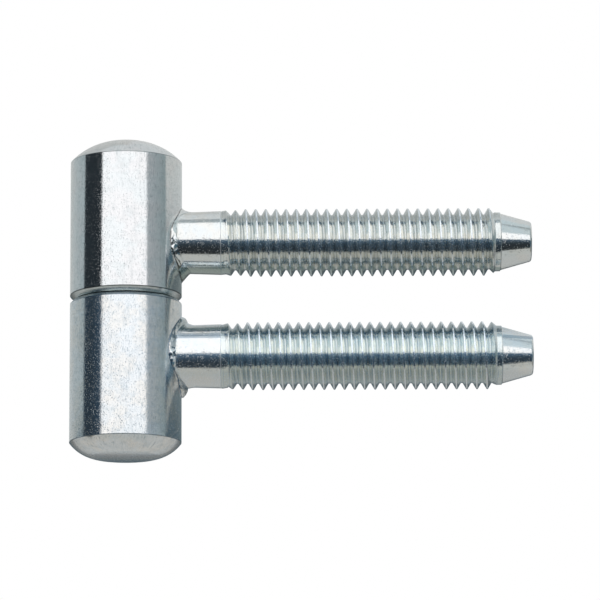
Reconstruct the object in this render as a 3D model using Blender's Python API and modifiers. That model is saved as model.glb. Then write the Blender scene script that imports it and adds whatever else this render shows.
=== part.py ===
"""Drill-in hinge: two turned barrels on a hidden pin, each with a threaded shank welded to its side.

The lower leaf screws into the door frame and holds the loose pin. The upper leaf screws into the door,
turns about the pin and lifts off it.

Frame, in metres: the origin is where the pin's axis crosses the lower shank's axis, +X runs along the
lower shank to its tip, and +Z runs up the pin.
"""

import math

import bmesh
import bpy
import numpy as np
from mathutils import Matrix, Vector

# Barrels
BARREL_DIAMETER = 0.0165
LOWER_CYLINDER_LENGTH = 0.0211
UPPER_CYLINDER_LENGTH = 0.0208
LOWER_RIM_CHAMFER = 0.0004
UPPER_RIM_CHAMFER = 0.00065
JOINT_GAP = 0.0002

# Domed ends of the barrels, each with a flat disc in its middle
LOWER_DOME_HEIGHT = 0.0021
LOWER_DOME_ARC_RADIUS = 0.0057
LOWER_DISC_DIAMETER = 0.0100
UPPER_DOME_HEIGHT = 0.00285
UPPER_DOME_ARC_RADIUS = 0.0098
UPPER_DISC_DIAMETER = 0.0072

# Pin and the blind bores that it stands in
PIN_DIAMETER = 0.009
PIN_LENGTH_IN_LOWER = 0.015
PIN_LENGTH_IN_UPPER = 0.017
PIN_END_CHAMFER = 0.001
PIN_RUNNING_CLEARANCE = 0.0001
PIN_SEAT_GAP = 0.0003
PIN_HEADROOM = 0.0008
BORE_MOUTH_CHAMFER = 0.0005
DRILL_POINT_ANGLE = math.radians(118)

# Shanks, along their own axis from the middle of the barrel
NECK_DIAMETER = 0.00915
NECK_END_DIAMETER = 0.00945
SHANK_REACH = 0.060
LOWER_SHANK_BELOW_JOINT = 0.0083
UPPER_SHANK_ABOVE_JOINT = 0.0088

# Rolled ISO metric thread, right-handed
THREAD_DIAMETER = 0.010
THREAD_PITCH = 0.0015
THREAD_FLANK_ANGLE = math.radians(30)
THREAD_START = 0.0144
THREAD_OVER_COLLAR = 0.0004
THREAD_RUN_IN = 0.0033
THREAD_RUN_IN_DIAMETER = 0.00952
THREAD_RUN_OUT = 0.0012
LOWER_THREAD_PHASE = math.radians(208)
UPPER_THREAD_PHASE = math.radians(280)

# Plain conical point, with a short collar between the thread and the cone
POINT_COLLAR_LENGTH = 0.00085
POINT_COLLAR_DIAMETER = 0.00875
POINT_CONE_LENGTH = 0.00455
POINT_CONE_DIAMETER = 0.0083
POINT_END_DIAMETER = 0.0058
POINT_END_ROUNDING = 0.00045

# Weld flash, the metal squeezed out round the foot of each shank
WELD_GAP = 0.0003
LOWER_FLASH_ABOVE = 0.0012
LOWER_FLASH_BELOW = 0.0014
UPPER_FLASH_ABOVE = 0.0007
UPPER_FLASH_BELOW = 0.0016
FLASH_AT_SIDES = 0.0006

# Facets
BARREL_STEPS = 64
PIN_STEPS = 32
SHANK_STEPS = 48
THREAD_STEPS_A_TURN = 18
DOME_ARC_STEPS = 6
ROUNDING_STEPS = 3
FLASH_POINTS = 32
FLASH_SECTION_RESOLUTION = 4
SHARP_EDGE_ANGLE = math.radians(28)
MERGE_DISTANCE = 0.000001

# Sizes that follow from those above
BARREL_RADIUS = BARREL_DIAMETER / 2
PIN_RADIUS = PIN_DIAMETER / 2
PIN_END_RADIUS = PIN_RADIUS - PIN_END_CHAMFER
BORE_RADIUS = PIN_RADIUS + PIN_RUNNING_CLEARANCE
NECK_RADIUS = NECK_DIAMETER / 2
CREST_RADIUS = THREAD_DIAMETER / 2
SHARP_THREAD_HEIGHT = THREAD_PITCH / 2 / math.tan(THREAD_FLANK_ANGLE)
THREAD_DEPTH = SHARP_THREAD_HEIGHT * 17 / 24
CREST_FLAT = THREAD_PITCH / 8
ROOT_RADIUS = CREST_RADIUS - THREAD_DEPTH
ROOT_OVERLAP = THREAD_DEPTH / 10
POINT_CONE_START = SHANK_REACH - POINT_CONE_LENGTH
POINT_COLLAR_START = POINT_CONE_START - POINT_COLLAR_LENGTH
POINT_SLOPE = (POINT_CONE_DIAMETER - POINT_END_DIAMETER) / 2 / POINT_CONE_LENGTH
THREAD_END = POINT_COLLAR_START + THREAD_OVER_COLLAR
JOINT_HEIGHT = LOWER_SHANK_BELOW_JOINT
UPPER_SHANK_HEIGHT = JOINT_HEIGHT + UPPER_SHANK_ABOVE_JOINT


def clear_scene():
    """Empties the scene, so that the hinge stands in it alone."""
    for obj in list(bpy.data.objects):
        bpy.data.objects.remove(obj, do_unlink=True)


def new_collection(name):
    collection = bpy.data.collections.new(name)
    bpy.context.scene.collection.children.link(collection)
    return collection


def new_object(name, mesh, collection):
    obj = bpy.data.objects.new(name, mesh)
    collection.objects.link(obj)
    return obj


def new_cutter(name, mesh, cutters):
    """A helper that shapes other objects and stays out of renders."""
    obj = new_object(name, mesh, cutters)
    obj.hide_render = True
    obj.display_type = "WIRE"
    return obj


def metal(name, colour, roughness):
    """A metal finish of one colour."""
    material = bpy.data.materials.new(name)
    material.use_nodes = True
    shader = material.node_tree.nodes["Principled BSDF"]
    shader.inputs["Base Color"].default_value = (*colour, 1.0)
    shader.inputs["Metallic"].default_value = 1.0
    shader.inputs["Roughness"].default_value = roughness
    return material


def outline_mesh(name, points):
    """An open outline in the XZ plane from (radius, height) points."""
    mesh = bpy.data.meshes.new(name)
    edges = [(i, i + 1) for i in range(len(points) - 1)]
    mesh.from_pydata([(radius, 0.0, height) for radius, height in points], edges, [])
    return mesh


def add_screw(obj, steps, turns=1, rise=0.0):
    """Turns the object's outline about its own Z axis, rising this much in each turn."""
    screw = obj.modifiers.new("Turned", "SCREW")
    screw.axis = "Z"
    screw.iterations = turns
    screw.screw_offset = rise
    screw.steps = steps
    screw.render_steps = steps
    screw.use_merge_vertices = True
    screw.merge_threshold = MERGE_DISTANCE


def add_boolean(obj, operation, other):
    boolean = obj.modifiers.new(operation.title(), "BOOLEAN")
    boolean.operation = operation
    boolean.solver = "EXACT"
    boolean.object = other


def evaluated_mesh(obj):
    """The object's mesh with its modifiers in it."""
    bpy.context.view_layer.update()
    graph = bpy.context.evaluated_depsgraph_get()
    return bpy.data.meshes.new_from_object(obj.evaluated_get(graph))


def apply_modifiers(obj, material):
    """Keeps the shape that the modifiers give, with smooth round faces and sharp edges."""
    mesh = evaluated_mesh(obj)
    obj.modifiers.clear()
    obj.data = mesh
    mesh.materials.clear()
    mesh.materials.append(material)
    mesh.shade_smooth()
    mesh.set_sharp_from_angle(angle=SHARP_EDGE_ANGLE)


def arc_points(start, end, radius, steps):
    """Points from start to end, both kept, on an arc that bulges away from the origin."""
    start = Vector(start)
    end = Vector(end)
    chord = end - start
    away = Vector((-chord.y, chord.x)).normalized()
    if away.dot(start + end) < 0:
        away.negate()
    centre = (start + end) / 2 - away * math.sqrt(radius**2 - chord.length_squared / 4)
    first = start - centre
    sweep = first.angle_signed(end - centre)
    points = []
    for i in range(steps + 1):
        turned = Matrix.Rotation(-sweep * i / steps, 2) @ first
        points.append(tuple(centre + turned))
    return points


def dome_profile(cylinder_length, dome_height, arc_radius, disc_diameter):
    """Half section of a barrel's domed end, from the middle of its disc to the edge of the cylinder."""
    top = cylinder_length + dome_height
    arc = arc_points((disc_diameter / 2, top), (BARREL_RADIUS, cylinder_length), arc_radius, DOME_ARC_STEPS)
    return [(0.0, top), *arc]


def barrel_profile(dome, rim_chamfer, bore_depth):
    """Half section of a barrel with its rim at height 0 and its dome on top."""
    point_depth = BORE_RADIUS / math.tan(DRILL_POINT_ANGLE / 2)
    return [
        *dome,
        (BARREL_RADIUS, rim_chamfer),
        (BARREL_RADIUS - rim_chamfer, 0.0),
        (BORE_RADIUS + BORE_MOUTH_CHAMFER, 0.0),
        (BORE_RADIUS, BORE_MOUTH_CHAMFER),
        (BORE_RADIUS, bore_depth),
        (0.0, bore_depth + point_depth),
    ]


def make_barrel(name, profile, collection, material):
    barrel = new_object(name, outline_mesh(name, profile), collection)
    add_screw(barrel, BARREL_STEPS)
    apply_modifiers(barrel, material)
    return barrel


def make_pin(collection, material):
    """The loose pin, with its origin in the joint plane."""
    top = PIN_LENGTH_IN_UPPER
    bottom = -PIN_LENGTH_IN_LOWER
    profile = [
        (0.0, top),
        (PIN_END_RADIUS, top),
        (PIN_RADIUS, top - PIN_END_CHAMFER),
        (PIN_RADIUS, bottom + PIN_END_CHAMFER),
        (PIN_END_RADIUS, bottom),
        (0.0, bottom),
    ]
    pin = new_object("hinge_pin", outline_mesh("hinge_pin", profile), collection)
    add_screw(pin, PIN_STEPS)
    apply_modifiers(pin, material)
    return pin


def neck_profile():
    """Half section of a shank's neck, from inside the thread's first turns down to the barrel's middle."""
    seat = THREAD_START + THREAD_PITCH / 2
    return [
        (0.0, seat),
        (ROOT_RADIUS - ROOT_OVERLAP, seat),
        (NECK_END_DIAMETER / 2, THREAD_START),
        (NECK_RADIUS, BARREL_RADIUS),
        (NECK_RADIUS, 0.0),
        (0.0, 0.0),
    ]


def point_radius(height):
    """The radius of the conical point at this height."""
    return POINT_CONE_DIAMETER / 2 - POINT_SLOPE * (height - POINT_CONE_START)


def point_profile():
    """Half section of a shank's conical point, from its tip down to inside the thread's last turns."""
    rounding_end = SHANK_REACH - POINT_END_ROUNDING
    rounding = arc_points(
        (POINT_END_DIAMETER / 2 - POINT_END_ROUNDING, SHANK_REACH),
        (point_radius(rounding_end), rounding_end),
        POINT_END_ROUNDING * (1 + (1 + POINT_SLOPE) ** 2) / 2,
        ROUNDING_STEPS,
    )
    seat = POINT_COLLAR_START - THREAD_PITCH / 2
    return [
        (0.0, SHANK_REACH),
        *rounding,
        (POINT_CONE_DIAMETER / 2, POINT_CONE_START),
        (POINT_COLLAR_DIAMETER / 2, POINT_COLLAR_START),
        (ROOT_RADIUS + ROOT_OVERLAP, POINT_COLLAR_START - ROOT_OVERLAP),
        (ROOT_RADIUS - ROOT_OVERLAP, seat),
        (0.0, seat),
    ]


def thread_outline():
    """One pitch of the thread from root to root: flat root, flank, flat crest, flank."""
    flank = THREAD_DEPTH * math.tan(THREAD_FLANK_ANGLE)
    root_flat = THREAD_PITCH - CREST_FLAT - 2 * flank
    return [
        (ROOT_RADIUS, 0.0),
        (ROOT_RADIUS, root_flat),
        (CREST_RADIUS, root_flat + flank),
        (CREST_RADIUS, root_flat + flank + CREST_FLAT),
        (ROOT_RADIUS, THREAD_PITCH),
    ]


def thread_limit(height):
    """The greatest radius of the thread at this height, less where it runs in from the neck and out."""
    run_in_radius = THREAD_RUN_IN_DIAMETER / 2
    full_from = THREAD_START + THREAD_RUN_IN
    heights_and_radii = [
        (THREAD_START - THREAD_PITCH / 4, ROOT_RADIUS),
        (THREAD_START - THREAD_PITCH / 8, run_in_radius),
        (full_from - THREAD_PITCH / 2, run_in_radius),
        (full_from, CREST_RADIUS),
        (THREAD_END - THREAD_RUN_OUT, CREST_RADIUS),
        (THREAD_END, ROOT_RADIUS),
    ]
    return min(np.interp(height, *zip(*heights_and_radii)), point_radius(height) - ROOT_OVERLAP)


def cap_with_fans(surface, middle):
    """Closes a helical sleeve round the Z axis at both ends, each rim to a point on the axis."""
    for end in (-1, 1):
        rim = [edge for edge in surface.edges if edge.is_boundary]
        rim = [edge for edge in rim if (edge.verts[0].co.z - middle) * end > 0]
        extruded = bmesh.ops.extrude_edge_only(surface, edges=rim)["geom"]
        centre_verts = [item for item in extruded if isinstance(item, bmesh.types.BMVert)]
        height = sum(vert.co.z for vert in centre_verts) / len(centre_verts)
        bmesh.ops.pointmerge(surface, verts=centre_verts, merge_co=(0.0, 0.0, height))


def make_thread(name, phase, cutters):
    """The threaded length as a solid: one pitch of the thread's outline swept up a right-hand helix."""
    end = POINT_COLLAR_START + ROOT_OVERLAP
    turns = math.ceil((end - THREAD_START) / THREAD_PITCH) + 1
    start = end - turns * THREAD_PITCH
    thread = new_cutter(name, outline_mesh(name, thread_outline()), cutters)
    add_screw(thread, THREAD_STEPS_A_TURN, turns, THREAD_PITCH)
    mesh = evaluated_mesh(thread)
    thread.modifiers.clear()
    thread.data = mesh

    surface = bmesh.new()
    surface.from_mesh(mesh)
    bmesh.ops.remove_doubles(surface, verts=surface.verts, dist=MERGE_DISTANCE)
    place_helix = Matrix.Translation((0.0, 0.0, start)) @ Matrix.Rotation(phase, 4, "Z")
    bmesh.ops.transform(surface, verts=surface.verts, matrix=place_helix)
    for vert in surface.verts:
        scale = min(1.0, thread_limit(vert.co.z) / math.hypot(vert.co.x, vert.co.y))
        vert.co.x *= scale
        vert.co.y *= scale
    cap_with_fans(surface, (start + end) / 2)
    bmesh.ops.recalc_face_normals(surface, faces=surface.faces)
    surface.to_mesh(mesh)
    surface.free()
    return thread


def make_weld_flash(name, above, below, cutters):
    """A bead along the line where the neck meets the barrel, above and below being its reach there."""
    curve = bpy.data.curves.new(name, "CURVE")
    curve.dimensions = "3D"
    curve.bevel_depth = 1.0
    curve.bevel_resolution = FLASH_SECTION_RESOLUTION
    spline = curve.splines.new("POLY")
    spline.points.add(FLASH_POINTS - 1)
    spline.use_cyclic_u = True
    for i, point in enumerate(spline.points):
        angle = 2 * math.pi * i / FLASH_POINTS
        up = NECK_RADIUS * math.cos(angle)
        side = NECK_RADIUS * math.sin(angle)
        out = math.sqrt(BARREL_RADIUS**2 - side**2)
        reach = above if up > 0 else below
        point.co = (-up, side, out, 1.0)
        point.radius = FLASH_AT_SIDES + (reach - FLASH_AT_SIDES) * math.cos(angle) ** 2
    guide = new_object(name + "_curve", curve, cutters)
    mesh = evaluated_mesh(guide)
    bead_mesh = bmesh.new()
    bead_mesh.from_mesh(mesh)
    bmesh.ops.remove_doubles(bead_mesh, verts=bead_mesh.verts, dist=MERGE_DISTANCE)
    bmesh.ops.recalc_face_normals(bead_mesh, faces=bead_mesh.faces)
    bead_mesh.to_mesh(mesh)
    bead_mesh.free()
    bead = new_cutter(name, mesh, cutters)
    bead.matrix_world = guide.matrix_world
    bpy.data.objects.remove(guide, do_unlink=True)
    return bead


def make_barrel_clearance(cutters):
    """The space round a barrel that the coped foot of a shank keeps clear of, along a shank's own X axis."""
    mesh = bpy.data.meshes.new("barrel_clearance")
    cylinder = bmesh.new()
    bmesh.ops.create_cone(
        cylinder,
        cap_ends=True,
        segments=BARREL_STEPS,
        radius1=BARREL_RADIUS + WELD_GAP,
        radius2=BARREL_RADIUS + WELD_GAP,
        depth=2 * THREAD_DIAMETER,
        matrix=Matrix.Rotation(math.radians(90), 4, "Y"),
    )
    cylinder.to_mesh(mesh)
    cylinder.free()
    return new_cutter("barrel_clearance", mesh, cutters)


def make_shank(name, phase, flash_above, flash_below, collection, cutters, material):
    """A shank along its own Z axis from the barrel's centre line, with its thread, point and weld flash."""
    shank = new_object(name, outline_mesh(name, neck_profile()), collection)
    add_screw(shank, SHANK_STEPS)
    add_boolean(shank, "UNION", make_thread(name + "_thread", phase, cutters))
    point = new_cutter(name + "_point", outline_mesh(name + "_point", point_profile()), cutters)
    add_screw(point, SHANK_STEPS)
    add_boolean(shank, "UNION", point)
    add_boolean(shank, "UNION", make_weld_flash(name + "_flash", flash_above, flash_below, cutters))
    add_boolean(shank, "DIFFERENCE", cutters.objects["barrel_clearance"])
    apply_modifiers(shank, material)
    shank.rotation_euler = (0.0, math.radians(90), 0.0)
    return shank


def new_axis_empty(name, height, collection):
    """An empty on the pin's axis that carries the pieces of one moving part."""
    empty = bpy.data.objects.new(name, None)
    empty.empty_display_size = BARREL_DIAMETER
    empty.location = (0.0, 0.0, height)
    collection.objects.link(empty)
    return empty


def place(obj, parent, height):
    """Parents the object and puts it at this height above the origin of the hinge."""
    obj.parent = parent
    obj.location = (0.0, 0.0, height - parent.location.z)


def build_hinge():
    clear_scene()
    hinge = new_collection("drill_in_hinge")
    cutters = new_collection("cutters")
    zinc = metal("zinc_plated_steel", (0.72, 0.75, 0.78), 0.22)
    zinc_thread = metal("zinc_plated_thread", (0.68, 0.71, 0.74), 0.26)
    pin_steel = metal("bright_pin_steel", (0.60, 0.60, 0.59), 0.18)
    make_barrel_clearance(cutters)

    lower_leaf = new_axis_empty("lower_leaf", 0.0, hinge)
    pin_axis = new_axis_empty("pin_axis", JOINT_HEIGHT, hinge)
    upper_leaf = new_axis_empty("upper_leaf", JOINT_HEIGHT, hinge)

    seat_rise = (BORE_RADIUS - PIN_END_RADIUS) / math.tan(DRILL_POINT_ANGLE / 2)
    lower_bore_depth = PIN_LENGTH_IN_LOWER - JOINT_GAP / 2 + PIN_SEAT_GAP - seat_rise
    upper_bore_depth = PIN_LENGTH_IN_UPPER - JOINT_GAP / 2 + PIN_HEADROOM

    lower_dome = dome_profile(
        LOWER_CYLINDER_LENGTH, LOWER_DOME_HEIGHT, LOWER_DOME_ARC_RADIUS, LOWER_DISC_DIAMETER
    )
    upper_dome = dome_profile(
        UPPER_CYLINDER_LENGTH, UPPER_DOME_HEIGHT, UPPER_DOME_ARC_RADIUS, UPPER_DISC_DIAMETER
    )
    lower_profile = barrel_profile(lower_dome, LOWER_RIM_CHAMFER, lower_bore_depth)
    upper_profile = barrel_profile(upper_dome, UPPER_RIM_CHAMFER, upper_bore_depth)

    lower_barrel = make_barrel("lower_barrel", lower_profile, hinge, zinc)
    lower_barrel.rotation_euler = (math.radians(180), 0.0, 0.0)
    place(lower_barrel, lower_leaf, JOINT_HEIGHT - JOINT_GAP / 2)
    upper_barrel = make_barrel("upper_barrel", upper_profile, hinge, zinc)
    place(upper_barrel, upper_leaf, JOINT_HEIGHT + JOINT_GAP / 2)
    place(make_pin(hinge, pin_steel), pin_axis, JOINT_HEIGHT)

    lower_shank = make_shank(
        "lower_shank", LOWER_THREAD_PHASE, LOWER_FLASH_ABOVE, LOWER_FLASH_BELOW, hinge, cutters, zinc_thread
    )
    place(lower_shank, lower_leaf, 0.0)
    upper_shank = make_shank(
        "upper_shank", UPPER_THREAD_PHASE, UPPER_FLASH_ABOVE, UPPER_FLASH_BELOW, hinge, cutters, zinc_thread
    )
    place(upper_shank, upper_leaf, UPPER_SHANK_HEIGHT)


build_hinge()
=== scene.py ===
"""Drill-in hinge: the finished look of its leaves, threads and welds, with the studio and the camera."""

import math

import bmesh
import bpy
from mathutils import Euler, Matrix, Vector, noise


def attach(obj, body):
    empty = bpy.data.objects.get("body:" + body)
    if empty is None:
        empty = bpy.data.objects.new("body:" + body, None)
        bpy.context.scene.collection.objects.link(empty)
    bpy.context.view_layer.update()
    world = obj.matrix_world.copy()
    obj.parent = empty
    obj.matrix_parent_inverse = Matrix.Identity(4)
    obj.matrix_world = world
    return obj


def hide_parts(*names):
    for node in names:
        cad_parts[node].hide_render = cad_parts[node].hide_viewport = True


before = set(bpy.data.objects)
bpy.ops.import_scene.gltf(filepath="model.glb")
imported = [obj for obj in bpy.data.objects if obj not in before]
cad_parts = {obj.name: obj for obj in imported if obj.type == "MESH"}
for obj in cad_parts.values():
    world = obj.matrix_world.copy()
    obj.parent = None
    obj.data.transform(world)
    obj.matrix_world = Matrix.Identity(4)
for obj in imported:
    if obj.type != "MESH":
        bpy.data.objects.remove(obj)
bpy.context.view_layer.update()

MM = 0.001

# Camera: below the hinge, looking up at it through a long lens
CAMERA_TARGET = (25.72 * MM, 0.0, 8.43 * MM)
CAMERA_DISTANCE = 0.650
CAMERA_RISE = math.radians(11.81)
CAMERA_ROLL = math.radians(-0.242)
CAMERA_LENS = 264.0
CAMERA_SENSOR = 36.0
CAMERA_CLIP = (0.01, 20.0)

# Floor
FLOOR_HEIGHT = -0.36
FLOOR_WIDTH = 16.0
FLOOR_COLOUR = (0.90, 0.90, 0.90)
FLOOR_MOTTLE = (0.885, 0.885, 0.885)
FLOOR_MOTTLE_SCALE = 3.0
FLOOR_GLOW = 0.30

# Pin, with its ends above and below the joint between the leaves
PIN_RADIUS = 4.5 * MM
PIN_CHAMFER = 1.0 * MM
PIN_BELOW = 15.0 * MM
PIN_ABOVE = 17.0 * MM
PIN_CLEARANCE = 0.1 * MM
PIN_SEAT_GAP = 0.3 * MM
PIN_HEADROOM = 0.8 * MM
PIN_EDGE_ROUNDING = 0.15 * MM

# Barrels
BARREL_RADIUS = 8.25 * MM
LOWER_DOME = {"cylinder": 21.1 * MM, "height": 2.1 * MM, "disc_radius": 5.0 * MM, "arc": 5.7 * MM}
UPPER_DOME = {"cylinder": 20.8 * MM, "height": 2.85 * MM, "disc_radius": 3.6 * MM, "arc": 9.8 * MM}
BARREL_EDGE_ROUNDING = 0.10 * MM
UPPER_RIM_CHAMFER = 0.65 * MM
LOWER_RIM_CHAMFER = 0.40 * MM
RIM_ROUNDING = 0.08 * MM
JOINT_HEIGHT = 8.3 * MM
JOINT_GAP = 0.2 * MM
BORE_RADIUS = PIN_RADIUS + PIN_CLEARANCE
BORE_MOUTH = 0.5 * MM
BORE_POINT_ANGLE = math.radians(118)

# Shanks, along X from the axis of the pin
UPPER_SHANK_HEIGHT = JOINT_HEIGHT + 8.8 * MM
SHANK_REACH = 60.0 * MM
NECK_RADIUS = 4.575 * MM
NECK_END_RADIUS = 4.725 * MM
POINT_CONE_LENGTH = 4.55 * MM
POINT_COLLAR_LENGTH = 0.85 * MM
POINT_CONE_START = SHANK_REACH - POINT_CONE_LENGTH
POINT_COLLAR_RADIUS = 4.375 * MM
POINT_COLLAR_END_RADIUS = 4.355 * MM
POINT_CONE_RADIUS = 4.18 * MM
POINT_SHOULDER = 0.12 * MM
POINT_SHOULDER_ROUNDING = 0.05 * MM
POINT_END_RADIUS = 2.9 * MM
POINT_END_ROUNDING = 0.45 * MM

# Rolled thread
THREAD_RADIUS = 5.0 * MM
THREAD_ROOT = 4.08 * MM
THREAD_PITCH = 1.5 * MM
THREAD_FLANK = math.radians(30)
THREAD_CREST_ROUNDING = 0.05 * MM
THREAD_ROOT_ROUNDING = 0.12 * MM
THREAD_FROM = 13.95 * MM
THREAD_TO = POINT_CONE_START - POINT_COLLAR_LENGTH
LOWER_THREAD_PHASE = 0.325 * MM
UPPER_THREAD_PHASE = 0.025 * MM

# The thread's root and crest lines. Both meet the neck at one end and the point's collar at the other.
ROOT_LINE = [
    (THREAD_FROM, NECK_END_RADIUS),
    (THREAD_FROM + 0.15 * MM, 4.69 * MM),
    (THREAD_FROM + 1.05 * MM, 4.66 * MM),
    (THREAD_FROM + 1.55 * MM, THREAD_ROOT),
    (THREAD_TO - 0.70 * MM, THREAD_ROOT),
    (THREAD_TO, POINT_COLLAR_RADIUS),
]
CREST_LINE = [
    (THREAD_FROM, NECK_END_RADIUS),
    (THREAD_FROM + 0.25 * MM, 4.74 * MM),
    (THREAD_FROM + 1.05 * MM, 4.85 * MM),
    (THREAD_FROM + 3.05 * MM, 4.84 * MM),
    (THREAD_FROM + 3.75 * MM, THREAD_RADIUS),
    (THREAD_TO - 0.80 * MM, THREAD_RADIUS),
    (THREAD_TO - 0.34 * MM, 4.70 * MM),
    (THREAD_TO, POINT_COLLAR_RADIUS),
]

# The welds, each a bead of flash round the foot of its shank. Each list of eight runs round the shank in
# steps of 45 degrees: back, top, front and bottom, with one between each two. The reach is how far the bead
# stands out from the neck, and the width how far it comes out from the barrel. A greater fullness makes it
# bulge more. The fillet is how much thicker the neck starts, and the sink how deep the bead's edge lies in
# the barrel. The patch is a rougher place, at this angle from the back.
UPPER_WELD = {
    "reach": [x * MM for x in (0.30, 0.20, 0.80, 0.18, 0.28, 0.42, 1.62, 0.50)],
    "width": [x * MM for x in (0.75, 0.30, 1.80, 0.22, 0.80, 0.75, 1.30, 0.80)],
    "fullness": [1.5, 0.9, 0.66, 0.9, 1.6, 0.85, 0.92, 0.9],
    "fillet": [0.0] * 8,
    "lump": 0.05 * MM,
    "lump_size": 0.34 * MM,
    "fine_lump": 0.10 * MM,
    "patch_at": math.radians(194),
    "patch_width": math.radians(13),
    "patch_lump": 0.42 * MM,
    "sink": 0.10 * MM,
    "seed": 3.0,
}
LOWER_WELD = {
    "reach": [x * MM for x in (0.55, 0.85, 0.86, 0.85, 0.62, 0.30, 1.35, 0.80)],
    "width": [x * MM for x in (0.62, 0.35, 0.92, 0.24, 0.70, 0.14, 0.95, 0.45)],
    "fullness": [1.8, 1.6, 2.1, 1.6, 1.8, 1.4, 2.0, 1.6],
    "fillet": [x * MM for x in (0.0, 0.0, 0.40, 0.10, 0.0, 0.0, 0.25, 0.0)],
    "lump": 0.10 * MM,
    "lump_size": 0.38 * MM,
    "fine_lump": 0.10 * MM,
    "patch_at": math.radians(185),
    "patch_width": math.radians(14),
    "patch_lump": 0.30 * MM,
    "sink": 0.10 * MM,
    "seed": 11.0,
}
FOOT_INSIDE_BARREL = 7.3 * MM
SEAM_LUMP_SHARE = 0.3
FINE_LUMP_SIZE = 0.16 * MM
FINE_LUMP_SHARE = 0.4
FILLET_LENGTH = 1.3 * MM
FILLET_HEIGHT = 0.40 * MM

# The crease between a weld and its neck: the share of the way to the thread, and the depth there
CREASE = [(0.0, 0.0), (0.006, 0.06 * MM), (0.016, 0.10 * MM), (0.026, 0.08 * MM), (0.038, 0.0)]

# Facets
BARREL_SEGMENTS = 256
PIN_SEGMENTS = 96
SHANK_SEGMENTS = 128
DOME_STEPS = 14
RIM_STEPS = 4
PIN_EDGE_STEPS = 3
THREAD_ARC_STEPS = 2
POINT_STEPS = 5
WELD_STEPS = 18
NECK_STEPS = 20
MERGE_DISTANCE = 0.001 * MM
SHARP_ANGLE = math.radians(35)

# The studio as it shows in the metal. In front of the hinge its bands are level, so they go by the slope
# towards the front, and behind it they go by the elevation. Each stop is (degrees, colour).
SOFTBOX = (0.93, 0.95, 0.965)
BLACK_PANEL = (0.017, 0.023, 0.028)
PALE_PANEL = (0.47, 0.55, 0.58)
TEAL_PANEL = (0.055, 0.10, 0.13)
DIM_PANEL = (0.10, 0.105, 0.095)
LOW_LIGHT = (0.42, 0.42, 0.39)
LEFT_WALL_BEHIND = (0.45, 0.46, 0.45)
LEFT_WALL_BESIDE = (0.31, 0.37, 0.39)
RIGHT_WALL_BEFORE = (0.31, 0.34, 0.36)
RIGHT_WALL_BESIDE = (0.205, 0.26, 0.27)
FRONT_WALL = [
    (-90.0, (0.41, 0.43, 0.42)),
    (-55.0, (0.41, 0.43, 0.42)),
    (-53.2, (0.021, 0.025, 0.027)),
    (-30.0, (0.021, 0.026, 0.030)),
    (-17.0, (0.026, 0.037, 0.047)),
    (-9.0, (0.045, 0.066, 0.090)),
    (0.0, (0.082, 0.125, 0.170)),
    (1.2, SOFTBOX),
    (67.5, SOFTBOX),
    (69.0, (0.30, 0.35, 0.37)),
    (85.0, (0.30, 0.33, 0.345)),
    (87.5, (0.58, 0.61, 0.62)),
]
REAR_WALL = [
    (-90.0, (0.43, 0.44, 0.43)),
    (-40.0, (0.42, 0.43, 0.42)),
    (-20.0, (0.34, 0.36, 0.36)),
    (-16.0, (0.17, 0.175, 0.175)),
    (-6.0, (0.12, 0.13, 0.125)),
    (0.0, (0.045, 0.070, 0.085)),
    (7.0, (0.055, 0.080, 0.095)),
    (11.2, (0.12, 0.15, 0.15)),
    (12.8, (0.43, 0.46, 0.465)),
    (16.0, (0.47, 0.49, 0.48)),
    (22.0, (0.48, 0.495, 0.49)),
    (60.0, (0.50, 0.53, 0.54)),
    (90.0, (0.58, 0.61, 0.62)),
]
# Panels round the room: azimuth from and to, elevation from and to, and the colours at the left and right.
# Azimuth 0 is behind the camera, and it grows to the right.
PANELS = [
    (-181.0, -93.5, 7.0, 60.0, LEFT_WALL_BEHIND, LEFT_WALL_BESIDE),
    (-93.5, -49.0, -8.0, 70.0, BLACK_PANEL, BLACK_PANEL),
    (45.5, 92.5, -3.0, 72.0, RIGHT_WALL_BEFORE, RIGHT_WALL_BESIDE),
    (24.0, 58.0, 25.0, 75.0, PALE_PANEL, PALE_PANEL),
    (58.0, 110.0, 58.0, 75.0, PALE_PANEL, PALE_PANEL),
    (-80.0, -52.0, -33.0, -8.0, TEAL_PANEL, TEAL_PANEL),
    (52.0, 80.0, -33.0, -3.0, TEAL_PANEL, TEAL_PANEL),
    (-104.0, -66.0, -47.0, -27.0, DIM_PANEL, DIM_PANEL),
    (66.0, 104.0, -47.0, -27.0, DIM_PANEL, DIM_PANEL),
    (84.0, 104.0, -46.0, -37.0, LOW_LIGHT, LOW_LIGHT),
]
FRONT_HALF = (-90.0, 90.0)
WALL_SOFTNESS = 3.0
PANEL_SOFTNESS = 1.0
ROOM_STRENGTH = 1.1
BACKGROUND = (1.0, 1.0, 1.0)

# Colours of the plating where it is marked, and of the painted shade, painted reflection and painted
# highlight on it
STREAK = (0.45, 0.48, 0.48)
CLOUD = (0.40, 0.47, 0.49)
DRAWN_LINE = (0.28, 0.33, 0.35)
SCRATCH = (0.20, 0.26, 0.27)
BARREL_BLOT = (0.34, 0.39, 0.39)
SPECK = (0.30, 0.33, 0.33)
TURNED_EDGE = (0.16, 0.19, 0.20)
RIM_EDGE_DARK = (0.06, 0.07, 0.07)
CHAMFER = (0.52, 0.58, 0.55)
ROOT_SHADE = (0.36, 0.37, 0.33)
FACING_SHADE = (0.28, 0.36, 0.32)
REFLECTION_BAND = (0.25, 0.29, 0.31)
SIDE_SHADE = (0.38, 0.365, 0.315)
SCORE = (0.30, 0.32, 0.30)
SHANK_BLOT = (0.36, 0.40, 0.40)
CREST_HIGHLIGHT = (0.98, 0.98, 0.97)
SEAM = (0.09, 0.075, 0.06)
HAZE = (0.27, 0.60, 1.0)
HAZE_ROUGHNESS = 0.45

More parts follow.
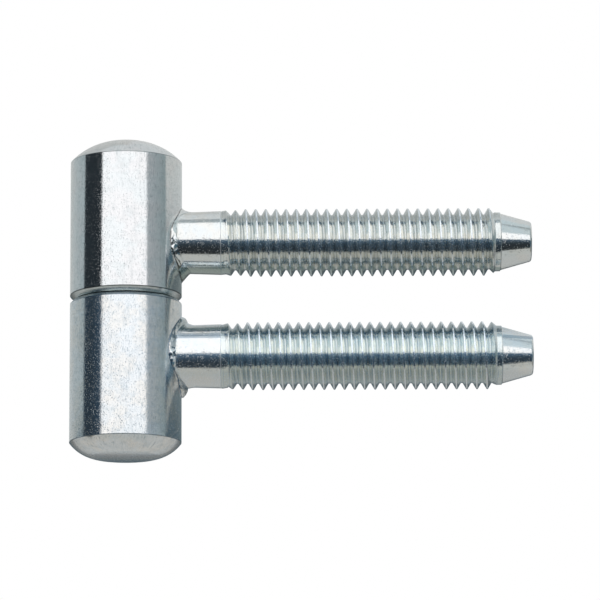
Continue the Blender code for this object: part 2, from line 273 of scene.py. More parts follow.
# Patterns in the plating, as how often they change in a metre. Those drawn along a barrel have three values:
# how often across it, how often along it, and where the pattern starts.
SPECKLES = 6500.0
BLOTS = 2500.0
CLOUDS = 900.0
SHANK_PATCHES = 420.0
BARREL_PATCHES = 330.0
DRAWN_LINES = (2600.0, 300.0, 0.0)
SCRATCHES = (7500.0, 1100.0, 5.0)
STREAKS = (420.0, 40.0, 9.0)
CHAMFER_CUTS = 9000.0
SHANK_LINES_ALONG = 6500.0
SHANK_LINES_ACROSS = 160.0
PIN_LINES = 7000.0
PIN_FILM = 300.0

# The barrels' zinc: two tints, how worn it is, how deep its grain is and how strong its haze
UPPER_BARREL_ZINC = {
    "cool": (0.93, 0.945, 0.95),
    "warm": (0.96, 0.94, 0.94),
    "wear": 0.7,
    "grain": 0.006 * MM,
    "haze": 0.0,
    "edge": UPPER_DOME["cylinder"],
    "rim": UPPER_RIM_CHAMFER,
}
LOWER_BARREL_ZINC = {
    "cool": (0.885, 0.87, 0.845),
    "warm": (0.93, 0.87, 0.80),
    "wear": 1.0,
    "grain": 0.009 * MM,
    "haze": 0.17,
    "edge": LOWER_DOME["cylinder"],
    "rim": LOWER_RIM_CHAMFER,
}
# The shanks' zinc, with a tint of its own on the thread's flanks. The shares say how much painted shade it
# takes: beyond a height on the side that faces the other shank, on the neck, above and below on the thread;
# and how much painted reflection it takes in a strip above the axis.
UPPER_SHANK_ZINC = {
    "cool": (0.92, 0.94, 0.94),
    "warm": (0.95, 0.94, 0.91),
    "flank": (0.97, 0.94, 0.88),
    "facing_from": -4.05 * MM,
    "facing_shade_share": 0.80,
    "neck_shade_share": 0.04,
    "above_shade_share": 0.46,
    "below_shade_share": 0.10,
    "reflection_band_share": 0.0,
    "grain": 0.007 * MM,
    "haze": 0.01,
    "thread_haze": 0.15,
}
LOWER_SHANK_ZINC = {
    "cool": (0.914, 0.89, 0.845),
    "warm": (0.944, 0.89, 0.81),
    "flank": (0.95, 0.97, 0.92),
    "facing_from": 3.3 * MM,
    "facing_shade_share": 0.45,
    "neck_shade_share": 0.28,
    "above_shade_share": 0.95,
    "below_shade_share": 0.48,
    "reflection_band_share": 0.64,
    "grain": 0.010 * MM,
    "haze": 0.22,
    "thread_haze": 0.27,
}
# Heights from a shank's axis where its painted side shade, painted reflection strip and fading crest
# highlight begin and end
FACING_FADE = 0.15 * MM
SIDE_FROM = 2.2 * MM
SIDE_TO = 3.2 * MM
REFLECTION_BAND_FROM = 1.90 * MM
REFLECTION_BAND_TO = 2.44 * MM
REFLECTION_BAND_FADE = 0.10 * MM
REFLECTION_BAND_SHARE_ON_THREAD = 0.3
CREST_DIM_FROM = -1.6 * MM
CREST_DIM_TO = -2.6 * MM
CREST_DIM_SHARE = 0.25

# The pin's ground steel under a film of oil
PIN_STEEL = (0.60, 0.60, 0.59)
PIN_OIL = (0.52, 0.515, 0.50)
PIN_GRAIN = 0.003 * MM


def arc(start, end, centre, steps):
    """Points from start to end round the centre, the short way, with both ends."""
    first = Vector(start) - Vector(centre)
    last = Vector(end) - Vector(centre)
    turn = first.angle_signed(last)
    points = []
    for i in range(steps + 1):
        angle = -turn * i / steps
        cos, sin = math.cos(angle), math.sin(angle)
        points.append((centre[0] + first.x * cos - first.y * sin, centre[1] + first.x * sin + first.y * cos))
    return points


def rounded(corners, steps):
    """The outline through (x, y, rounding radius) corners, each with an arc where it has a radius."""
    outline = []
    for i, (x, y, radius) in enumerate(corners):
        if not radius:
            outline.append((x, y))
            continue
        corner = Vector((x, y))
        back = (Vector(corners[i - 1][:2]) - corner).normalized()
        ahead = (Vector(corners[i + 1][:2]) - corner).normalized()
        half = back.angle(ahead) / 2
        run = radius / math.tan(half)
        centre = corner + (back + ahead).normalized() * (radius / math.sin(half))
        outline += arc(corner + back * run, corner + ahead * run, centre, steps)
    return outline


def along(table, x):
    """The value at x on the straight lines through (x, value) pairs."""
    if x <= table[0][0]:
        return table[0][1]
    for (x0, v0), (x1, v1) in zip(table, table[1:]):
        if x <= x1:
            return v0 + (v1 - v0) * (x - x0) / (x1 - x0)
    return table[-1][1]


def skin(shape, rings, lead=0):
    """Faces between rings of points. With a lead, each ring climbs by that many rings in a turn."""
    rows = [[shape.verts.new(point) for point in ring] for ring in rings]
    for i in range(len(rows) - 1):
        for j in range(len(rows[i])):
            following = (j + 1) % len(rows[i])
            climb = 0 if following else lead
            if i + 1 + climb < len(rows):
                shape.faces.new((
                    rows[i][j],
                    rows[i + climb][following],
                    rows[i + 1 + climb][following],
                    rows[i + 1][j],
                ))


def finished(name, shape, height, material):
    """An object from the shape, with smooth round faces and sharp edges, its origin at this height."""
    bmesh.ops.remove_doubles(shape, verts=shape.verts, dist=MERGE_DISTANCE)
    bmesh.ops.dissolve_degenerate(shape, edges=shape.edges, dist=MERGE_DISTANCE)
    bmesh.ops.recalc_face_normals(shape, faces=shape.faces)
    mesh = bpy.data.meshes.new(name)
    shape.to_mesh(mesh)
    shape.free()
    mesh.materials.append(material)
    mesh.shade_smooth()
    mesh.set_sharp_from_angle(angle=SHARP_ANGLE)
    obj = bpy.data.objects.new(name, mesh)
    obj.location.z = height
    bpy.context.scene.collection.objects.link(obj)
    return obj


def even_angles(count):
    """So many angles, evenly spaced round a full turn."""
    return [2 * math.pi * i / count for i in range(count)]


def turned(name, outline, segments, height, material):
    """An object turned about the Z axis from (radius, height) points."""
    angles = even_angles(segments)
    rings = [[(r * math.cos(a), r * math.sin(a), z) for a in angles] for r, z in outline]
    shape = bmesh.new()
    skin(shape, rings)
    return finished(name, shape, height, material)


def barrel_outline(dome_sizes, rim_chamfer, bore_depth, way):
    """Half section of a barrel from the middle of its disc to the end of its bore, way being 1 for up."""
    edge = dome_sizes["cylinder"]
    top = edge + dome_sizes["height"]
    start = Vector((dome_sizes["disc_radius"], top))
    end = Vector((BARREL_RADIUS, edge))
    middle = (start + end) / 2
    inward = -Vector((start.y - end.y, end.x - start.x)).normalized()
    centre = middle + inward * math.sqrt(dome_sizes["arc"] ** 2 - (start - end).length_squared / 4)
    dome = arc(start, end, centre, DOME_STEPS)
    body = rounded([
        (*dome[-2], 0),
        (BARREL_RADIUS, edge, BARREL_EDGE_ROUNDING),
        (BARREL_RADIUS, rim_chamfer, RIM_ROUNDING),
        (BARREL_RADIUS - rim_chamfer, 0.0, RIM_ROUNDING),
        (BORE_RADIUS + BORE_MOUTH, 0.0, RIM_ROUNDING),
        (BORE_RADIUS, BORE_MOUTH, 0),
        (BORE_RADIUS, bore_depth, 0),
        (0.0, bore_depth + BORE_RADIUS / math.tan(BORE_POINT_ANGLE / 2), 0),
    ], RIM_STEPS)
    outline = [(0.0, top)] + dome[:-2] + body
    return [(r, way * z) for r, z in outline]


def pin_outline():
    """Half section of the pin about the joint plane."""
    end = PIN_RADIUS - PIN_CHAMFER
    return rounded([
        (0.0, PIN_ABOVE, 0),
        (end, PIN_ABOVE, PIN_EDGE_ROUNDING),
        (PIN_RADIUS, PIN_ABOVE - PIN_CHAMFER, PIN_EDGE_ROUNDING),
        (PIN_RADIUS, PIN_CHAMFER - PIN_BELOW, PIN_EDGE_ROUNDING),
        (end, -PIN_BELOW, PIN_EDGE_ROUNDING),
        (0.0, -PIN_BELOW, 0),
    ], PIN_EDGE_STEPS)


def thread_profile():
    """One pitch of the thread as (distance, share of the depth) pairs, from the middle of a root."""
    depth = THREAD_RADIUS - THREAD_ROOT
    flank = depth * math.tan(THREAD_FLANK)
    crest_half = THREAD_PITCH / 16
    foot = THREAD_PITCH / 2 - crest_half - flank
    points = rounded([
        (0.0, 0.0, 0),
        (foot, 0.0, THREAD_ROOT_ROUNDING),
        (foot + flank, depth, THREAD_CREST_ROUNDING),
        (THREAD_PITCH - foot - flank, depth, THREAD_CREST_ROUNDING),
        (THREAD_PITCH - foot, 0.0, THREAD_ROOT_ROUNDING),
        (THREAD_PITCH, 0.0, 0),
    ], THREAD_ARC_STEPS)
    return [(x, y / depth) for x, y in points[:-1]]


def around(keys, angle):
    """A value that runs smoothly through the keys, which stand at even angles from the back of the shank."""
    place = angle / (2 * math.pi) * len(keys)
    first = int(place) % len(keys)
    share = 0.5 - 0.5 * math.cos(math.pi * (place - int(place)))
    return keys[first] * (1 - share) + keys[(first + 1) % len(keys)] * share


def lumps(position, size, seed):
    """An uneven height between about -1 and 1."""
    return noise.noise(position / size + Vector((seed, 0.0, 0.0)))


def ring_at(x, radius, angles):
    """Points round the shank's axis at this distance along it."""
    return [(x, radius * math.cos(a), radius * math.sin(a)) for a in angles]


def weld_rings(weld, angles):
    """Rings over the bead of flash, from a point hidden in the barrel's wall out to the neck."""
    rings = [ring_at(FOOT_INSIDE_BARREL, 0.0, angles)]
    for step in range(WELD_STEPS + 1):
        t = step / WELD_STEPS * math.pi / 2
        ring = []
        for a in angles:
            power = 2 / around(weld["fullness"], a)
            reach = around(weld["reach"], a) * math.cos(t) ** power
            out = around(weld["width"], a) * math.sin(t) ** power
            radius = NECK_RADIUS + around(weld["fillet"], a) + reach
            spot = Vector((out, radius * math.cos(a), radius * math.sin(a)))
            in_patch = math.exp(-(((a - weld["patch_at"]) / weld["patch_width"]) ** 2))
            rough = weld["lump"] * math.sin(2 * t) + SEAM_LUMP_SHARE * weld["lump"] * math.cos(t)
            rough += weld["patch_lump"] * in_patch * math.sin(2 * t)
            radius += rough * lumps(spot, weld["lump_size"], weld["seed"])
            out += rough * lumps(spot, weld["lump_size"], weld["seed"] + 9.0)
            fine = weld["fine_lump"] * math.sin(2 * t) * (FINE_LUMP_SHARE + in_patch)
            radius += fine * lumps(spot, FINE_LUMP_SIZE, weld["seed"] + 4.0)
            out += fine * lumps(spot, FINE_LUMP_SIZE, weld["seed"] + 15.0)
            saddle = math.sqrt(BARREL_RADIUS**2 - (radius * math.cos(a)) ** 2)
            x = saddle + out - weld["sink"] * math.cos(t)
            ring.append((x, radius * math.cos(a), radius * math.sin(a)))
        rings.append(ring)
    return rings


def neck_rings(weld, angles):
    """Rings along the neck, from the crease at the weld's edge to a straight ring at the thread."""
    last = weld_rings(weld, angles)[-1]
    rings = []
    for share, depth in CREASE + [(i / NECK_STEPS, 0.0) for i in range(1, NECK_STEPS + 1)]:
        ring = []
        for a, (x, y, z) in zip(angles, last):
            fillet = around(weld["fillet"], a)
            run = share * (THREAD_FROM - x)
            straight = (math.hypot(y, z) - fillet) * (1 - share) + NECK_END_RADIUS * share
            rise = fillet * max(0.0, 1 - run / FILLET_LENGTH) ** 2
            sink = depth * max(0.0, 1 - fillet / FILLET_HEIGHT)
            radius = straight + rise - sink
            ring.append((x + run, radius * math.cos(a), radius * math.sin(a)))
        rings.append(ring)
    return rings


def thread_rings(phase, angles):
    """Rows of the thread's helix, held between its two ends, and the number of rows in a turn."""
    profile = thread_profile()
    first = math.floor((THREAD_FROM - phase) / THREAD_PITCH) - 1
    last = math.ceil((THREAD_TO - phase) / THREAD_PITCH) + 1
    rings = []
    for pitch in range(first, last):
        for run, share in profile:
            ring = []
            for a in angles:
                x = phase + (pitch + a / (2 * math.pi)) * THREAD_PITCH + run
                x = min(max(x, THREAD_FROM), THREAD_TO)
                root = along(ROOT_LINE, x)
                radius = root + (along(CREST_LINE, x) - root) * share
                ring.append((x, radius * math.cos(a), radius * math.sin(a)))
            rings.append(ring)
    return rings, len(profile)


def point_outline():
    """Half section of the conical point, from the thread's end to the tip."""
    return rounded([
        (POINT_COLLAR_RADIUS, THREAD_TO, 0),
        (POINT_COLLAR_END_RADIUS, POINT_CONE_START - POINT_SHOULDER, POINT_SHOULDER_ROUNDING),
        (POINT_CONE_RADIUS, POINT_CONE_START, POINT_SHOULDER_ROUNDING),
        (POINT_END_RADIUS, SHANK_REACH, POINT_END_ROUNDING),
        (0.0, SHANK_REACH, 0),
    ], POINT_STEPS)


def make_shank(name, phase, weld, height, material):
    """A shank along X: welded foot, neck, rolled thread and conical point, as one surface."""
    angles = even_angles(SHANK_SEGMENTS)
    shape = bmesh.new()
    skin(shape, weld_rings(weld, angles))
    skin(shape, neck_rings(weld, angles))
    helix, lead = thread_rings(phase, angles)
    skin(shape, helix, lead)
    skin(shape, [ring_at(x, radius, angles) for radius, x in point_outline()])
    return finished(name, shape, height, material)


class Graph:
    """Adds shader nodes to a tree, taking plain values or other nodes' outputs for their inputs."""

    def __init__(self, tree):
        self.tree = tree
        tree.nodes.clear()

    def add(self, kind, inputs=None, **settings):
        node = self.tree.nodes.new(kind)
        for key, value in settings.items():
            setattr(node, key, value)
        for key, value in (inputs or {}).items():
            if isinstance(value, bpy.types.NodeSocket):
                self.tree.links.new(value, node.inputs[key])
            else:
                node.inputs[key].default_value = value
        return node

    def calc(self, operation, *values, clamp=False):
        node = self.add("ShaderNodeMath", dict(enumerate(values)), operation=operation, use_clamp=clamp)
        return node.outputs[0]

    def plus(self, first, *others):
        """The sum of the values."""
        for other in others:
            first = self.calc("ADD", first, other)
        return first

    def times(self, first, *others):
        """The product of the values."""
        for other in others:
            first = self.calc("MULTIPLY", first, other)
        return first

    def distance(self, first, second):
        """How far a place is from an axis, from its two coordinates across that axis."""
        return self.calc("SQRT", self.plus(self.times(first, first), self.times(second, second)))

    def vector(self, x, y, z):
        return self.add("ShaderNodeCombineXYZ", {0: x, 1: y, 2: z}).outputs[0]

    def place(self):
        """The place on the object in its own coordinates, as a vector and as x, y and z."""
        spot = self.add("ShaderNodeTexCoord").outputs["Object"]
        return spot, *self.add("ShaderNodeSeparateXYZ", {0: spot}).outputs

    def mix(self, share, first, second, blend="MIX"):
        node = self.add("ShaderNodeMix", {0: share, 6: first, 7: second}, data_type="RGBA", blend_type=blend)
        return node.outputs[2]

    def paint(self, share, colour, paint):
        """The colour, with this share of the paint mixed in."""
        return self.mix(share, colour, (*paint, 1.0))

    def stain(self, colour, pattern, low, high, share, paint):
        """The colour, with up to this share of the paint mixed in where the pattern goes from low to high."""
        return self.paint(self.remap(pattern, low, high, 0.0, share), colour, paint)

    def remap(self, value, low, high, to_low=0.0, to_high=1.0):
        settings = {"Value": value, "From Min": low, "From Max": high, "To Min": to_low, "To Max": to_high}
        return self.add("ShaderNodeMapRange", settings, interpolation_type="SMOOTHSTEP").outputs[0]

    def noise(self, vector, scale, detail=2.0, roughness=0.5):
        inputs = {"Vector": vector, "Scale": scale, "Detail": detail, "Roughness": roughness}
        return self.add("ShaderNodeTexNoise", inputs).outputs["Fac"]

    def bands(self, value, low, high, stops):
        """A colour along the value, from (value, colour) stops between low and high."""
        place = self.calc("DIVIDE", self.calc("SUBTRACT", value, low), high - low)
        node = self.add("ShaderNodeValToRGB", {0: place})
        ramp = node.color_ramp
        while len(ramp.elements) < len(stops):
            ramp.elements.new(1.0)
        for element, (at, colour) in zip(ramp.elements, stops):
            element.position = (at - low) / (high - low)
            element.color = (*colour, 1.0)
        return node.outputs["Color"]

    def within(self, value, low, high, soft):
        """1 where the value is between low and high, 0 outside, with soft edges."""
        rise = self.remap(value, low - soft / 2, low + soft / 2)
        fall = self.remap(value, high - soft / 2, high + soft / 2, 1.0, 0.0)
        return self.times(rise, fall)


def make_studio():
    """A soft studio round the hinge, as direct light and as what its metal reflects."""
    world = bpy.data.worlds.new("studio")
    world.use_nodes = True
    bpy.context.scene.world = world
    graph = Graph(world.node_tree)
    direction = graph.add("ShaderNodeTexCoord").outputs["Generated"]
    x, y, z = graph.add("ShaderNodeSeparateXYZ", {0: direction}).outputs
    forward = graph.times(y, -1.0)
    azimuth = graph.calc("DEGREES", graph.calc("ARCTAN2", x, forward))
    elevation = graph.calc("DEGREES", graph.calc("ARCSINE", z))
    slope = graph.calc("DEGREES", graph.calc("ARCTAN2", z, graph.calc("MAXIMUM", forward, 0.001)))
    front = graph.bands(slope, -90.0, 90.0, FRONT_WALL)
    rear = graph.bands(elevation, -90.0, 90.0, REAR_WALL)
    room = graph.mix(graph.within(azimuth, *FRONT_HALF, WALL_SOFTNESS), rear, front)
    for left, right, low, high, left_colour, right_colour in PANELS:
        across = graph.within(azimuth, left, right, PANEL_SOFTNESS)
        up = graph.within(elevation, low, high, PANEL_SOFTNESS)
        share = graph.calc("DIVIDE", graph.calc("SUBTRACT", azimuth, left), right - left, clamp=True)
        panel = graph.mix(share, (*left_colour, 1.0), (*right_colour, 1.0))
        room = graph.mix(graph.times(across, up), room, panel)
    light = graph.add("ShaderNodeBackground", {"Color": room, "Strength": ROOM_STRENGTH})
    plain = graph.add("ShaderNodeBackground", {"Color": (*BACKGROUND, 1.0), "Strength": 1.0})
    rays = graph.add("ShaderNodeLightPath")
    inputs = {0: rays.outputs["Is Camera Ray"], 1: light.outputs[0], 2: plain.outputs[0]}
    shader = graph.add("ShaderNodeMixShader", inputs)
    graph.add("ShaderNodeOutputWorld", {"Surface": shader.outputs[0]})


def new_graph(name):
    """A new material and the graph of its nodes."""
    material = bpy.data.materials.new(name)
    material.use_nodes = True
    return material, Graph(material.node_tree)


def make_floor():
    """A pale floor far below, which keeps the hinge's soft shadow."""
    material, graph = new_graph("pale_floor")
    spot = graph.add("ShaderNodeTexCoord").outputs["Object"]
    mottle = graph.noise(spot, FLOOR_MOTTLE_SCALE)
    colour = graph.mix(graph.remap(mottle, 0.3, 0.7), (*FLOOR_COLOUR, 1.0), (*FLOOR_MOTTLE, 1.0))
    paint = graph.add("ShaderNodeBsdfDiffuse", {"Color": colour})
    glow = graph.add("ShaderNodeEmission", {"Color": (1.0, 1.0, 1.0, 1.0), "Strength": FLOOR_GLOW})
    both = graph.add("ShaderNodeAddShader", {0: paint.outputs[0], 1: glow.outputs[0]})
    rays = graph.add("ShaderNodeLightPath")
    inputs = {0: rays.outputs["Is Camera Ray"], 1: paint.outputs[0], 2: both.outputs[0]}
    shader = graph.add("ShaderNodeMixShader", inputs)
    graph.add("ShaderNodeOutputMaterial", {"Surface": shader.outputs[0]})
    shape = bmesh.new()
    bmesh.ops.create_grid(shape, x_segments=1, y_segments=1, size=FLOOR_WIDTH / 2)
    mesh = bpy.data.meshes.new("floor")
    shape.to_mesh(mesh)
    shape.free()
    mesh.materials.append(material)
    floor = bpy.data.objects.new("floor", mesh)
    floor.location.z = FLOOR_HEIGHT
    floor.visible_glossy = False
    bpy.context.scene.collection.objects.link(floor)


def make_camera():
    """The camera of the photograph, below the hinge and a little rolled."""
    camera = bpy.data.cameras.new("camera")
    camera.lens = CAMERA_LENS
    camera.sensor_width = CAMERA_SENSOR
    camera.clip_start, camera.clip_end = CAMERA_CLIP
    obj = bpy.data.objects.new("camera", camera)
    back = Vector((0.0, -math.cos(CAMERA_RISE), -math.sin(CAMERA_RISE)))
    obj.location = Vector(CAMERA_TARGET) + back * CAMERA_DISTANCE
    tilt = Euler((math.pi / 2 + CAMERA_RISE, 0.0, 0.0)).to_matrix()
    obj.rotation_euler = (tilt @ Matrix.Rotation(CAMERA_ROLL, 3, "Z")).to_euler()
    bpy.context.scene.collection.objects.link(obj)
    bpy.context.scene.camera = obj


def bump(graph, height, depth):
    """The normal of a surface with these heights, which are so deep."""
    return graph.add("ShaderNodeBump", {"Strength": 1.0, "Distance": depth, "Height": height}).outputs[0]


def metal_shader(graph, colour, roughness, normal, haze=None):
    """A bright metal. The haze is the colour of a faint rough lobe that a cloudy plating adds to it."""
    inputs = {"Base Color": colour, "Metallic": 1.0, "Roughness": roughness, "Normal": normal}
    surface = graph.add("ShaderNodeBsdfPrincipled", inputs).outputs[0]
    if haze is not None:
        inputs = {"Base Color": haze, "Metallic": 1.0, "Roughness": HAZE_ROUGHNESS}
        cloud = graph.add("ShaderNodeBsdfPrincipled", inputs).outputs[0]
        surface = graph.add("ShaderNodeAddShader", {0: surface, 1: cloud}).outputs[0]
    graph.add("ShaderNodeOutputMaterial", {"Surface": surface})


def haze_colour(strength):
    """The colour of a haze that is so strong."""
    return (*(channel * strength for channel in HAZE), 1.0)


def barrel_zinc(name, zinc):
    """Bright zinc plate over a turned barrel: drawn lines along it, scratches, specks and two faint tints."""
    material, graph = new_graph(name)
    spot, x, y, z = graph.place()
    arc_length = graph.times(graph.calc("ARCTAN2", y, x), BARREL_RADIUS)
    from_joint = graph.calc("ABSOLUTE", z)
    wear = zinc["wear"]

    def drawn(across, lengthwise, start):
        """Noise that is drawn out along the barrel, so many times a metre across and along."""
        where = graph.vector(graph.times(arc_length, across), graph.times(z, lengthwise), start)
        return graph.noise(where, 1.0, 3.0, 0.6)

    lines = drawn(*DRAWN_LINES)
    speckle = graph.noise(spot, SPECKLES, 2.0, 0.6)
    blots = graph.noise(spot, BLOTS, 3.0, 0.6)
    patches = graph.noise(spot, BARREL_PATCHES, 3.0, 0.55)

    # The two tints, then what marks them
    colour = graph.mix(graph.remap(patches, 0.40, 0.60), (*zinc["cool"], 1.0), (*zinc["warm"], 1.0))
    colour = graph.stain(colour, drawn(*STREAKS), 0.45, 0.70, 0.07, STREAK)
    colour = graph.stain(colour, graph.noise(spot, CLOUDS, 4.0, 0.65), 0.46, 0.70, 0.26 * wear, CLOUD)
    colour = graph.stain(colour, lines, 0.48, 0.74, 0.18 * wear, DRAWN_LINE)
    colour = graph.stain(colour, drawn(*SCRATCHES), 0.56, 0.70, 0.62 * wear, SCRATCH)
    colour = graph.stain(colour, blots, 0.58, 0.74, 0.30 * wear, BARREL_BLOT)
    colour = graph.stain(colour, speckle, 0.58, 0.74, 0.36 * wear, SPECK)

    # The turned edge of the dome, a near-black line where the rim's chamfer meets the barrel's side, and the
    # chamfer itself
    edge, rim = zinc["edge"], zinc["rim"]
    at_edge = graph.within(from_joint, edge - 0.05 * MM, edge + 0.07 * MM, 0.05 * MM)
    colour = graph.paint(graph.times(at_edge, 0.6), colour, TURNED_EDGE)
    # A near-black line where the rim's chamfer meets the barrel's side
    at_rim_edge = graph.within(from_joint, rim - 0.04 * MM, rim + 0.10 * MM, 0.05 * MM)
    colour = graph.paint(graph.times(at_rim_edge, 0.85), colour, RIM_EDGE_DARK)
    on_chamfer = graph.remap(from_joint, rim - 0.03 * MM, rim - 0.06 * MM)
    colour = graph.paint(graph.times(on_chamfer, 0.5), colour, CHAMFER)

    rough_specks = graph.remap(speckle, 0.60, 0.74, 0.0, 0.30 * wear)
    smooth = graph.remap(patches, 0.3, 0.7, 0.03, 0.055)
    roughness = graph.plus(smooth, rough_specks, graph.times(on_chamfer, 0.16))

    pits = graph.remap(blots, 0.60, 0.72, 0.0, -0.6)
    grit = graph.remap(speckle, 0.61, 0.73, 0.0, 1.3 * wear)
    cuts = graph.noise(graph.vector(0.0, 0.0, graph.times(z, CHAMFER_CUTS)), 1.0)
    cuts = graph.times(cuts, on_chamfer, 3.0)
    height = graph.plus(graph.times(lines, 0.3), speckle, pits, grit, cuts)
    normal = bump(graph, height, zinc["grain"])
    metal_shader(graph, colour, roughness, normal, haze_colour(zinc["haze"]))
    return material


def shank_zinc(name, zinc):
    """Bright zinc plate over a rolled thread: fine lines round it, specks and duller flanks, with painted
    shade in its roots and on its sides, a strip of painted reflection and painted highlights on its crests.
    """
    material, graph = new_graph(name)
    spot, x, y, z = graph.place()
    radius = graph.distance(y, z)
    begins = graph.remap(x, THREAD_FROM, THREAD_FROM + 0.20 * MM)
    ends = graph.remap(x, POINT_CONE_START - 0.20 * MM, POINT_CONE_START, 1.0, 0.0)
    threaded = graph.times(begins, ends)
    across = [graph.times(value, SHANK_LINES_ACROSS) for value in (y, z)]
    lines_at = graph.vector(graph.times(x, SHANK_LINES_ALONG), *across)
    lines = graph.noise(lines_at, 1.0, 2.0, 0.6)
    patches = graph.noise(spot, SHANK_PATCHES, 3.0, 0.55)
    speckle = graph.noise(spot, SPECKLES, 2.0, 0.6)
    blots = graph.noise(spot, BLOTS, 3.0, 0.6)

    # The two tints, and painted shade in the thread's roots
    colour = graph.mix(graph.remap(patches, 0.38, 0.62), (*zinc["cool"], 1.0), (*zinc["warm"], 1.0))
    # Painted shade: the colour is darker in the thread's roots
    root_shade = graph.remap(radius, THREAD_ROOT + 0.04 * MM, THREAD_ROOT + 0.37 * MM, 0.42, 0.0)
    colour = graph.paint(graph.times(threaded, root_shade), colour, ROOT_SHADE)

    # Painted shade on the sides, and a strip of painted reflection above the axis
    facing_from = zinc["facing_from"]
    facing_to = facing_from + math.copysign(FACING_FADE, facing_from)
    # Painted shade on the side that faces the other shank
    colour = graph.stain(colour, z, facing_from, facing_to, zinc["facing_shade_share"], FACING_SHADE)
    # Painted reflection: a grey strip above the axis, weaker on the thread
    reflection_band_share = zinc["reflection_band_share"]
    film = graph.remap(threaded, 0.0, 1.0, reflection_band_share, REFLECTION_BAND_SHARE_ON_THREAD * reflection_band_share)
    painted_band = graph.times(graph.within(z, REFLECTION_BAND_FROM, REFLECTION_BAND_TO, REFLECTION_BAND_FADE), film)
    colour = graph.paint(painted_band, colour, REFLECTION_BAND)
    # Painted shade high and low on the shank, with a share of its own on the neck
    above_shade_share = graph.remap(threaded, 0.0, 1.0, zinc["neck_shade_share"], zinc["above_shade_share"])
    below_shade_share = graph.remap(threaded, 0.0, 1.0, zinc["neck_shade_share"], zinc["below_shade_share"])
    above = graph.times(graph.remap(z, SIDE_FROM, SIDE_TO), above_shade_share)
    below = graph.times(graph.remap(z, -SIDE_TO, -SIDE_FROM, 1.0, 0.0), below_shade_share)
    colour = graph.paint(graph.plus(above, below), colour, SIDE_SHADE)

    # Scored flanks, and a painted highlight on the crests
    on_flank = graph.remap(radius, THREAD_RADIUS - 0.10 * MM, THREAD_RADIUS - 0.04 * MM, 1.0, 0.0)
    flanks = graph.times(threaded, on_flank)
    colour = graph.mix(flanks, colour, (*zinc["flank"], 1.0), "MULTIPLY")
    scored = graph.times(flanks, graph.remap(lines, 0.50, 0.70, 0.0, 0.60))
    colour = graph.paint(scored, colour, SCORE)
    colour = graph.stain(colour, blots, 0.58, 0.76, 0.30, SHANK_BLOT)
    # Painted highlight on the crests, fading low on the thread
    on_crest = graph.remap(radius, THREAD_RADIUS - 0.07 * MM, THREAD_RADIUS - 0.03 * MM)
    highlight_fade = graph.remap(z, CREST_DIM_TO, CREST_DIM_FROM, CREST_DIM_SHARE, 1.0)
    colour = graph.paint(graph.times(threaded, on_crest, highlight_fade), colour, CREST_HIGHLIGHT)

    # The dark seam between the weld and the barrel
    ragged = graph.plus(graph.distance(x, y), graph.remap(blots, 0.3, 0.7, -0.06 * MM, 0.06 * MM))
    seam = graph.remap(ragged, BARREL_RADIUS + 0.04 * MM, BARREL_RADIUS + 0.16 * MM, 0.8, 0.0)
    colour = graph.paint(seam, colour, SEAM)

    smooth = graph.remap(threaded, 0.0, 1.0, 0.05, 0.075)
    rough_specks = graph.remap(speckle, 0.56, 0.70, 0.0, 0.30)
    lip = graph.within(x, THREAD_FROM + 0.07 * MM, THREAD_FROM + 0.19 * MM, 0.05 * MM)
    roughness = graph.plus(smooth, rough_specks, graph.times(lip, 0.4))

    ridges = graph.times(lines, flanks, 1.3)
    pits = graph.remap(blots, 0.60, 0.72, 0.0, -0.8)
    grit = graph.remap(speckle, 0.62, 0.74, 0.0, 1.2)
    normal = bump(graph, graph.plus(ridges, grit, speckle, pits), zinc["grain"])
    haze = graph.mix(threaded, haze_colour(zinc["haze"]), haze_colour(zinc["thread_haze"]))
    metal_shader(graph, colour, roughness, normal, haze)
    return material


def pin_steel():
    """Ground steel with fine lines round it and a film of oil."""
    material, graph = new_graph("ground_pin_steel")
    spot, x, y, z = graph.place()
    lines = graph.noise(graph.vector(0.0, 0.0, graph.times(z, PIN_LINES)), 1.0, 3.0, 0.6)
    film = graph.noise(spot, PIN_FILM, 3.0, 0.6)
    colour = graph.mix(graph.remap(film, 0.35, 0.65), (*PIN_STEEL, 1.0), (*PIN_OIL, 1.0))
    roughness = graph.remap(film, 0.3, 0.7, 0.20, 0.30)
    metal_shader(graph, colour, roughness, bump(graph, lines, PIN_GRAIN))
    return material


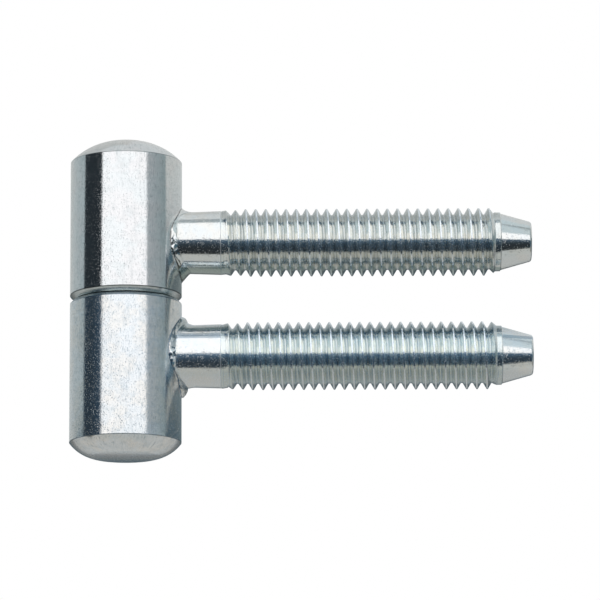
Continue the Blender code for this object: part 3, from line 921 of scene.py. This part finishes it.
def in_place(obj, node, body):
    """The object stands for a node of the frame and moves with its body."""
    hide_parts(node)
    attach(obj, body)


def make_hinge():
    """The five pieces of the hinge, each over its solid in the frame."""
    point_rise = (BORE_RADIUS - PIN_RADIUS + PIN_CHAMFER) / math.tan(BORE_POINT_ANGLE / 2)
    lower_bore = PIN_BELOW - JOINT_GAP / 2 + PIN_SEAT_GAP - point_rise
    upper_bore = PIN_ABOVE - JOINT_GAP / 2 + PIN_HEADROOM
    lower_face = JOINT_HEIGHT - JOINT_GAP / 2
    upper_face = JOINT_HEIGHT + JOINT_GAP / 2

    zinc = barrel_zinc("lower_barrel_zinc", LOWER_BARREL_ZINC)
    outline = barrel_outline(LOWER_DOME, LOWER_RIM_CHAMFER, lower_bore, -1)
    lower_barrel = turned("lower_barrel_turned", outline, BARREL_SEGMENTS, lower_face, zinc)
    in_place(lower_barrel, "lower_barrel", "lower_leaf")

    zinc = barrel_zinc("upper_barrel_zinc", UPPER_BARREL_ZINC)
    outline = barrel_outline(UPPER_DOME, UPPER_RIM_CHAMFER, upper_bore, 1)
    upper_barrel = turned("upper_barrel_turned", outline, BARREL_SEGMENTS, upper_face, zinc)
    in_place(upper_barrel, "upper_barrel", "upper_leaf")

    pin = turned("hinge_pin_ground", pin_outline(), PIN_SEGMENTS, JOINT_HEIGHT, pin_steel())
    in_place(pin, "hinge_pin", "pin")

    zinc = shank_zinc("lower_shank_zinc", LOWER_SHANK_ZINC)
    lower_shank = make_shank("lower_shank_rolled", LOWER_THREAD_PHASE, LOWER_WELD, 0.0, zinc)
    in_place(lower_shank, "lower_shank", "lower_leaf")

    zinc = shank_zinc("upper_shank_zinc", UPPER_SHANK_ZINC)
    upper_shank = make_shank("upper_shank_rolled", UPPER_THREAD_PHASE, UPPER_WELD, UPPER_SHANK_HEIGHT, zinc)
    in_place(upper_shank, "upper_shank", "upper_leaf")


make_hinge()
make_floor()
make_studio()
make_camera()
bpy.context.scene.view_settings.view_transform = "Standard"
